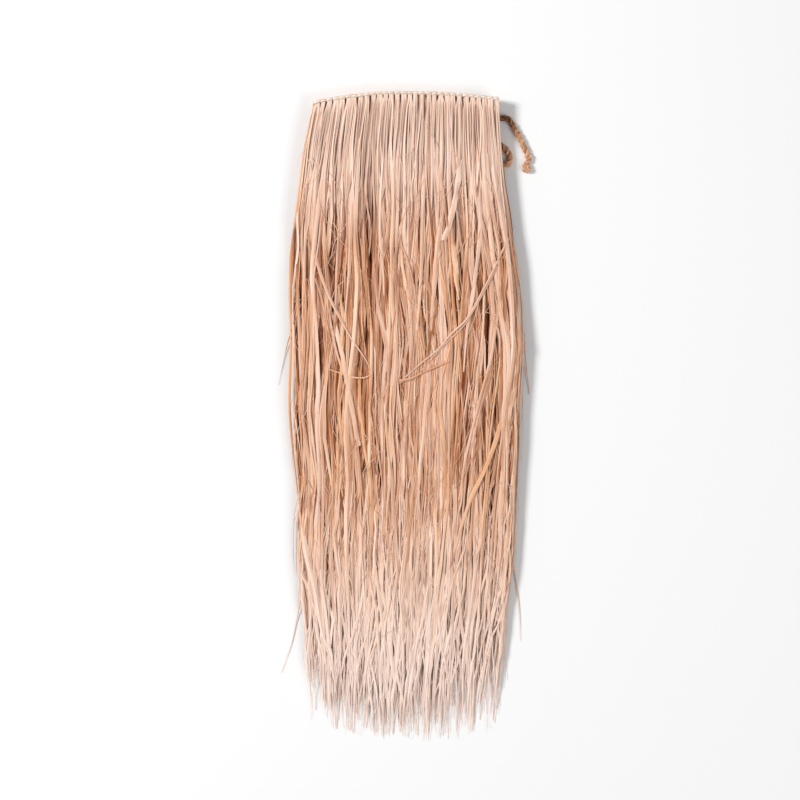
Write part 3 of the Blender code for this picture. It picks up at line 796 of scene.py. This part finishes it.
def loose_fibres(count=300, stations=20):
    """Thin split fibres that curl over the front, the sides and the tips."""
    chance = np.random.default_rng(52)
    length = chance.uniform(0.020, 0.095, count)[:, None]
    share = chance.beta(0.8, 0.8, count)[:, None]
    longest = hem_at(share) - length
    start_down = mix(0.05, longest, chance.random((count, 1)))
    start_x = mix(at("left", start_down), at("right", start_down), share)
    part = np.linspace(0, 1, stations)[None, :]
    astray = chance.random((count, 1)) < 0.22
    length = np.where(astray, 0.6 * length, length)
    aim = -np.pi / 2 + chance.normal(0, 1.0, (count, 1)) * np.where(astray, 1.1, 0.30)
    curl = chance.normal(0, 1.0, (count, 1))
    heading = aim + curl * (part - 0.4) + waves(chance, count, part, (0.20,), (1.6,))
    step = length / (stations - 1)
    sideways = np.cumsum(np.cos(heading) * step, axis=1)
    y = WAIST_Y - start_down + np.cumsum(np.sin(heading) * step, axis=1)
    down = WAIST_Y - y

    # a fibre at the side turns back before it is more than a few millimetres outside
    room_left = start_x - at("left", down) + 0.004
    room_right = at("right", down) + 0.004 - start_x
    room = np.maximum(np.where(sideways < 0, room_left, room_right), 0.001)
    x = start_x + room * np.tanh(sideways / room)
    arch = chance.uniform(0.0002, 0.0018, (count, 1)) * np.sin(np.pi * part)
    centres = np.stack([x, y, over_front(x, y, 0.0001 + arch)], axis=-1)
    width = chance.uniform(0.00034, 0.00080, (count, 1)) * mix(1.0, 0.35, part)
    roll = waves(chance, count, part, (0.6,), (2.0,))
    tone = 0.80 + chance.normal(0, 0.14, count)
    tones = tone_rows(chance, tone, part, 0.05, (0.0, 0.5), down)
    bundle = Bundle()
    add_strips(bundle, centres, width, FIBRE_CROWN, roll, tones, flat_lying=True)
    return bundle


# Cords

def carried_frames(points):
    """Two directions across a line at each of its points, carried along without twist."""
    tangents = unit(np.gradient(points, axis=0))
    side = unit(np.cross(tangents[0], np.array([0.0, 0.0, 1.0])))
    if np.linalg.norm(side) < 0.5:
        side = np.array([1.0, 0.0, 0.0])
    sides = []
    for tangent in tangents:
        side = unit(side - tangent * np.dot(side, tangent))
        sides.append(side)
    sides = np.array(sides)
    return sides, np.cross(tangents, sides)


def add_plies(bundle, points, radius, pitch, chance, tone, plies=2, sides=10, ribs=0.10):
    """Plies laid round each other along a line, each a bundle of twisted ribs."""
    lengths = path_lengths(points[None])[0]
    side, normal = carried_frames(points)
    around = np.linspace(0, 2 * np.pi, sides, endpoint=False)
    across = -np.cos(around)[None, :, None] * side[:, None]
    upward = np.sin(around)[None, :, None] * normal[:, None]
    part = np.linspace(0, 1, len(points))[None]
    ply_radius = radius if plies == 1 else radius * 0.60
    for ply in range(plies):
        turn = 2 * np.pi * (lengths / pitch + ply / plies)
        offset = radius - ply_radius
        middle = points + offset * (np.cos(turn)[:, None] * side + np.sin(turn)[:, None] * normal)
        ribbed = 1 + ribs * (np.cos(3 * around[None] + 2.4 * turn[:, None]) - 0.6)
        uneven = 1 + waves(chance, 1, lengths[None] / 0.1, (0.05, 0.04), (1.3, 7.0))[0]
        reach = ply_radius * ribbed * uneven[:, None]
        rings = middle[:, None] + reach[..., None] * (across + upward)
        lowest = rings[..., 2].min(axis=1)
        rings[..., 2] += np.maximum(FLOOR_ROOM - lowest, 0.0)[:, None]
        tones = tone_rows(chance, np.zeros(1), part, 0.10)
        tones[..., 0] += tone + chance.normal(0, 0.06)
        bundle.add(rings[None], around / (2 * np.pi), lengths[None], tones)


def cord_place(x, height, back=0.0):
    return (x, float(waist_edge(x)) - CORD_TOP_ROOM - CORD_RADIUS - back, height)


def cord_turn(centre_x, low, high, side, steps):
    radius = (high - low) / 2
    angles = [math.pi * i / steps for i in range(steps + 1)]
    return [cord_place(centre_x + side * radius * math.sin(a), low + radius * (1 - math.cos(a)))
            for a in angles]


def cord_run(start, end, height, steps=14):
    return [cord_place(mix(start, end, i / steps), height) for i in range(1, steps)]


def waist_cord():
    """The waist cord's four folded runs, as in the solids, laid from two plies."""
    bottom, second, third, front = [run_height(row) for row in range(4)]
    places = [cord_place(x, bottom, back) for x, back in reversed(BOTTOM_END)]
    places += cord_run(BOTTOM_END[0][0], FOLD_LEFT, bottom)
    places += cord_turn(FOLD_LEFT, bottom, front, -1, 8)
    places += cord_run(FOLD_LEFT, FOLD_RIGHT, front)
    places += cord_turn(FOLD_RIGHT, third, front, 1, 6)[::-1]
    places += cord_run(FOLD_RIGHT, FOLD_LEFT, third)
    places += cord_turn(FOLD_LEFT, second, third, -1, 6)[::-1]
    places += cord_run(FOLD_LEFT, SECOND_END[0][0], second)
    places += [cord_place(x, second, back) for x, back in SECOND_END]
    bundle = Bundle()
    chance = np.random.default_rng(61)
    add_plies(bundle, smooth_points(places, 620), *WAIST_LAY, chance, WAIST_TONE, sides=8)
    return bundle


def waist_binding():
    """Two strands to each run, which cross between the hanks and bind them under the cord."""
    bundle = Bundle()
    chance = np.random.default_rng(62)
    steps = 10
    for row in range(4):
        turn = np.linspace(0, HANKS, HANKS * steps + 1)
        x = mix(*row_ends(row, 0.0004), turn / HANKS)
        uneven = np.interp(turn, np.arange(HANKS + 1), chance.normal(0, 0.0003, HANKS + 1))
        for strand in range(2):
            phase = np.pi * (turn - 0.5 - row_shift(row) + strand)
            over = np.cos(phase)
            z = run_height(row) + 0.0028 * np.sign(over) * np.abs(over) ** 0.45
            y = waist_edge(x) - 0.0019 - 0.0006 * (1 - np.abs(over)) + uneven
            line = np.stack([x, y, np.maximum(z, BINDING_LAY[0] + FLOOR_ROOM)], axis=-1)
            add_plies(bundle, line, *BINDING_LAY, chance, WAIST_TONE, plies=1, sides=6)
    return bundle


def route_length(route):
    return path_lengths(smooth_points(route, 200)[None])[0, -1]


def tie_cord(tie):
    """A tie of two plies of three strands each."""
    bundle = Bundle()
    chance = np.random.default_rng(tie.seed)
    points = smooth_points(tie.route, int(route_length(tie.route) / 0.0006))
    tone = mix(*tie.tones, smoothstep(0.50, 0.80, np.linspace(0, 1, len(points))))
    add_plies(bundle, points, *TIE_LAY, chance, tone, sides=15, ribs=TIE_RIBS)
    return bundle


def tie_fibres(tie, count=110, stations=9):
    """Broken fibres that stand off a tie."""
    chance = np.random.default_rng(tie.fibre_seed)
    line = smooth_points(tie.route, 160)
    side, normal = carried_frames(line)
    part = np.linspace(0, 1, stations)[None, :]
    # start and along are counted in the points of the line
    start = chance.uniform(10, 132, (count, 1))
    along = start + part * chance.uniform(4, 16, (count, 1))
    turn = chance.uniform(0, 2 * np.pi, (count, 1)) + chance.normal(0, 0.5, (count, 1)) * part
    reach = TIE_RADIUS * (0.75 + chance.uniform(0.3, 1.1, (count, 1)) * part ** 1.5)
    index = np.arange(len(line))
    centres = []
    for carried, weight in ((line, None), (side, np.cos(turn)), (normal, np.sin(turn))):
        values = np.stack([np.interp(along, index, column) for column in carried.T], axis=-1)
        centres.append(values if weight is None else values * (reach * weight)[..., None])
    width = chance.uniform(0.00022, 0.00045, (count, 1)) * mix(1.0, 0.4, part)
    roll = np.zeros_like(width)
    tone = mix(*tie.tones, smoothstep(70, 130, start[:, 0])) + chance.normal(0.12, 0.10, count)
    tones = tone_rows(chance, tone, part, 0.05)
    bundle = Bundle()
    add_strips(bundle, sum(centres), width, FIBRE_CROWN, roll, tones, flat_lying=True)
    return bundle


def tie_knot():
    """An overhand knot, drawn tight, at the end of the long tie."""
    bundle = Bundle()
    chance = np.random.default_rng(64)
    turn = np.linspace(0.02, 0.98, 150) * 2 * np.pi
    reach = [size / 2 - KNOT_LAY[0] for size in KNOT_SIZE]
    x = (np.sin(turn) + 2 * np.sin(2 * turn)) / 2.6 * reach[0]
    y = (2 * np.cos(2 * turn) - np.cos(turn)) / 2.6 * reach[1]
    z = -np.sin(3 * turn) * reach[2]
    cosine = math.cos(KNOT_TURN)
    sine = math.sin(KNOT_TURN)
    line = np.stack([x * cosine - y * sine, x * sine + y * cosine, z], axis=-1)
    lines = [(line + np.array(KNOT_PLACE), KNOT_LAY)]
    lines += [(smooth_points(route, 24), LEAD_LAY) for route in KNOT_LEADS]
    for points, lay in lines:
        add_plies(bundle, points, *lay, chance, KNOT_TONE, sides=12, ribs=TIE_RIBS)
    return bundle


# Materials

def shader_nodes(name):
    finish = bpy.data.materials.new(name)
    finish.use_nodes = True
    tree = finish.node_tree
    return finish, tree, tree.nodes["Principled BSDF"]


def feed(tree, socket, value):
    """Links another socket to this one, or sets its number or colour."""
    if isinstance(value, bpy.types.NodeSocket):
        tree.links.new(value, socket)
    else:
        socket.default_value = value


def math_node(tree, operation, first, second):
    node = tree.nodes.new("ShaderNodeMath")
    node.operation = operation
    for socket, value in zip(node.inputs, (first, second)):
        feed(tree, socket, value)
    return node.outputs[0]


def mixed_colour(tree, first, second, share, blend="MIX"):
    node = tree.nodes.new("ShaderNodeMix")
    node.data_type = "RGBA"
    node.blend_type = blend
    for name, value in (("A", first), ("B", second), ("Factor", share)):
        feed(tree, node.inputs[name], value)
    return node.outputs["Result"]


def map_range(tree, value, source, target):
    """Maps one range of numbers to another."""
    node = tree.nodes.new("ShaderNodeMapRange")
    for name, number in zip(("From Min", "From Max", "To Min", "To Max"), (*source, *target)):
        node.inputs[name].default_value = number
    tree.links.new(value, node.inputs["Value"])
    return node.outputs["Result"]


def noise(tree, across, along, own, detail=2.0):
    """Noise drawn out along the strands: each argument is a socket times a number."""
    place = tree.nodes.new("ShaderNodeCombineXYZ")
    for socket, (value, times) in zip(place.inputs, (across, along, own)):
        tree.links.new(math_node(tree, "MULTIPLY", value, times), socket)
    node = tree.nodes.new("ShaderNodeTexNoise")
    node.inputs["Scale"].default_value = 1.0
    node.inputs["Detail"].default_value = detail
    tree.links.new(place.outputs[0], node.inputs["Vector"])
    return node.outputs["Fac"]


def spread_out(tree, value, times):
    """Noise about zero, times a number."""
    return math_node(tree, "MULTIPLY", math_node(tree, "SUBTRACT", value, 0.5), times)


def ramp_node(tree, value, stops):
    ramp = tree.nodes.new("ShaderNodeValToRGB")
    ramp.color_ramp.interpolation = "EASE"
    while len(ramp.color_ramp.elements) < len(stops):
        ramp.color_ramp.elements.new(0.5)
    for element, (position, colour) in zip(ramp.color_ramp.elements, stops):
        element.position = position
        element.color = (*colour, 1.0)
    tree.links.new(value, ramp.inputs["Fac"])
    return ramp.outputs["Color"]


def raffia(name, shades, roughness, sheen, relief, tip_and_glare_share=0.0):
    """Dry leaf fibre: lengthwise streaks, slow blotches, edges with a painted highlight, specks and
    a fine relief. The last argument: how much of the pale colour of pale tips and painted glare the
    palest strands take on."""
    finish, tree, shader = shader_nodes(name)
    attribute = tree.nodes.new("ShaderNodeAttribute")
    attribute.attribute_name = "tone"
    split = tree.nodes.new("ShaderNodeSeparateColor")
    tree.links.new(attribute.outputs["Color"], split.inputs["Color"])
    tone, own, tip_and_glare_paleness = split.outputs[:3]
    strand_map = tree.nodes.new("ShaderNodeUVMap")
    strand_map.uv_map = "Strand"
    place = tree.nodes.new("ShaderNodeSeparateXYZ")
    tree.links.new(strand_map.outputs[0], place.inputs[0])
    across, along = place.outputs[:2]

    streaks = noise(tree, (across, 3.6), (along, 12.0), (own, 60.0), 3.0)
    hairs = noise(tree, (across, 14.0), (along, 40.0), (own, 83.0))
    blotches = noise(tree, (across, 0.8), (along, 16.0), (own, 47.0))
    specks = noise(tree, (across, 5.0), (along, 420.0), (own, 31.0), 1.0)

    shade = tone
    for pattern, times in ((streaks, 1.10), (hairs, 0.55), (blotches, 0.80)):
        shade = math_node(tree, "ADD", shade, spread_out(tree, pattern, times))
    # paler tips, and painted glare towards the hem
    paler_tip_and_glare = math_node(tree, "MULTIPLY", math_node(tree, "POWER", tip_and_glare_paleness, 4.0), 0.10)
    # painted highlight: each strip is made lighter towards its two edges
    off_middle = math_node(tree, "ABSOLUTE", math_node(tree, "SUBTRACT", across, 0.5), 0.0)
    painted_edge_highlight = math_node(tree, "MULTIPLY", math_node(tree, "POWER", off_middle, 5.0), 5.0)
    for paler in (paler_tip_and_glare, painted_edge_highlight):
        shade = math_node(tree, "ADD", shade, paler)

    colour = ramp_node(tree, shade, shades)
    colour = mixed_colour(tree, colour, ramp_node(tree, own, TINTS), 1.0, "MULTIPLY")
    # mixed towards the pale colour of pale tips and painted glare
    tip_and_glare_fading = math_node(tree, "MULTIPLY", tip_and_glare_paleness, tip_and_glare_share)
    colour = mixed_colour(tree, colour, TIP_AND_GLARE_COLOUR, tip_and_glare_fading)
    speckled = map_range(tree, specks, (0.68, 0.80), (0.0, 0.55))
    colour = mixed_colour(tree, colour, SPECK_COLOUR, speckled)
    tree.links.new(colour, shader.inputs["Base Color"])
    rough = map_range(tree, streaks, (0.3, 0.7), (roughness + 0.10, roughness - 0.08))
    tree.links.new(rough, shader.inputs["Roughness"])
    shader.inputs["Specular IOR Level"].default_value = 0.22
    shader.inputs["Sheen Weight"].default_value = sheen
    shader.inputs["Sheen Roughness"].default_value = 0.45

    bumps = tree.nodes.new("ShaderNodeBump")
    bumps.inputs["Strength"].default_value = relief
    bumps.inputs["Distance"].default_value = 0.0002
    height = math_node(tree, "ADD", streaks, math_node(tree, "MULTIPLY", hairs, 0.6))
    tree.links.new(height, bumps.inputs["Height"])
    tree.links.new(bumps.outputs["Normal"], shader.inputs["Normal"])
    return finish


# The straw's shades from dark to pale; the darkest stops serve mostly the painted shade of the
# lower ribbons, a warm red-brown
STRAW_SHADES = (
    (0.00, (0.170, 0.044, 0.015)),
    (0.25, (0.380, 0.138, 0.055)),
    (0.50, (0.670, 0.372, 0.230)),
    (0.75, (0.820, 0.540, 0.390)),
    (1.00, (0.890, 0.660, 0.520)),
)
CREAM_SHADES = (
    (0.00, (0.420, 0.250, 0.160)),
    (0.35, (0.740, 0.540, 0.410)),
    (0.60, (0.880, 0.720, 0.600)),
    (0.85, (0.930, 0.830, 0.750)),
)
BROWN_SHADES = (
    (0.00, (0.075, 0.028, 0.013)),
    (0.30, (0.210, 0.088, 0.042)),
    (0.60, (0.470, 0.225, 0.115)),
    (1.00, (0.760, 0.460, 0.280)),
)

# What each strand's shade is multiplied by, from the orange strands to the pink and cream ones
TINTS = (
    (0.00, (1.000, 0.820, 0.620)),
    (0.22, (1.000, 0.920, 0.830)),
    (0.55, (1.000, 0.970, 0.970)),
    (0.80, (1.000, 0.970, 1.000)),
    (1.00, (0.990, 0.980, 0.950)),
)
# The pale colour of the tips and of the painted glare, a haze of reflected light
TIP_AND_GLARE_COLOUR = (0.94, 0.80, 0.73, 1.0)
SPECK_COLOUR = (0.16, 0.075, 0.030, 1.0)


# The stage

def make_stage():
    size = 3.0
    data = bpy.data.meshes.new("floor")
    corners = [(-size, -size, 0), (size, -size, 0), (size, size, 0), (-size, size, 0)]
    data.from_pydata(corners, [], [(0, 1, 2, 3)])
    finish, tree, shader = shader_nodes("floor white")
    shader.inputs["Base Color"].default_value = (0.90, 0.90, 0.90, 1.0)
    shader.inputs["Roughness"].default_value = 0.9
    data.materials.append(finish)
    floor = bpy.data.objects.new("floor", data)
    bpy.context.scene.collection.objects.link(floor)


def area_light(name, place, size, power):
    data = bpy.data.lights.new(name, "AREA")
    data.size = size
    data.energy = power
    light = bpy.data.objects.new(name, data)
    light.location = place
    light.rotation_euler = (-Vector(place)).to_track_quat("-Z", "Y").to_euler()
    bpy.context.scene.collection.objects.link(light)


def make_lights():
    area_light("key light", (-2.10, 0.90, 2.10), 0.70, 82.0)
    area_light("fill light", (2.00, -1.00, 2.30), 1.8, 33.0)
    world = bpy.data.worlds.new("studio")
    world.use_nodes = True
    world.node_tree.nodes["Background"].inputs["Color"].default_value = (1.0, 1.0, 1.0, 1.0)
    world.node_tree.nodes["Background"].inputs["Strength"].default_value = 0.33
    bpy.context.scene.world = world


def make_camera():
    """Straight above the skirt, like the photograph, which is 758 mm across."""
    photo_width = 800
    middle_x, middle_y = seen_at(photo_width / 2, photo_width / 2)
    distance = 3.0
    front_height = 0.015
    data = bpy.data.cameras.new("camera")
    data.sensor_width = 36.0
    data.lens = data.sensor_width * (distance - front_height) / (photo_width * PIXEL)
    camera = bpy.data.objects.new("camera", data)
    camera.location = (middle_x, middle_y, distance)
    bpy.context.scene.collection.objects.link(camera)
    bpy.context.scene.camera = camera


# The pieces

def finish_pieces(slot, *items):
    """Every piece rides on the skirt's one body; slot is not used."""
    for item in items:
        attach(item, "root")


def make_ties(brown):
    """The two ties with their broken fibres, and the knot at the end of the long one."""
    knot = tie_knot().mesh("tie_long_end_knot", brown)
    cords = [tie_cord(tie).mesh(tie.name + "_cord", brown) for tie in TIES]
    fibres = [tie_fibres(tie).mesh(tie.name + "_fibres", brown) for tie in TIES]
    for tie, cord, broken in zip(TIES, cords, fibres):
        route_length(tie.route)
        smooth_points(tie.route, 60).tolist()
        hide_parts(tie.name)
    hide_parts("tie_long_knot")
    finish_pieces("raffia_tie", knot, *cords, *fibres)


def make_waist(cream):
    cord = waist_cord().mesh("waist_cord_plies", cream)
    binding = waist_binding().mesh("waist_binding", cream)
    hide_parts("waist_cord")
    finish_pieces("raffia_cord", cord, binding)


def make_rows(straw):
    pieces = {}
    for leg in LEGS:
        bundle = leg_bundle(leg)
        pieces[leg.name] = bundle.mesh(leg.name, straw)
        behind = "raffia_straw" if leg.row in (0, FRONT_ROW) else "raffia_tan"
        slot = "raffia_pale" if leg.row == FRONT_ROW and leg.over else behind
        finish_pieces(slot, pieces[leg.name])
    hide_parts("front_over_legs")
    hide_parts("front_under_legs")
    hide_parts("folded_layers", "hem_strands")
    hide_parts("left_edge_strands", "right_edge_strands")


def main():
    bpy.context.scene.view_settings.view_transform = "Standard"
    make_camera()
    make_lights()
    make_stage()
    straw = raffia("straw raffia", STRAW_SHADES, 0.60, 0.02, 0.60, 0.68)
    cream = raffia("cream raffia cord", CREAM_SHADES, 0.66, 0.06, 0.45)
    brown = raffia("brown raffia cord", BROWN_SHADES, 0.70, 0.08, 0.60)
    make_ties(brown)
    make_waist(cream)
    make_rows(straw)
    finish_pieces("raffia_pale", loose_ribbons().mesh("loose_ribbons", straw),
                  loose_fibres().mesh("loose_fibres", straw))


main()
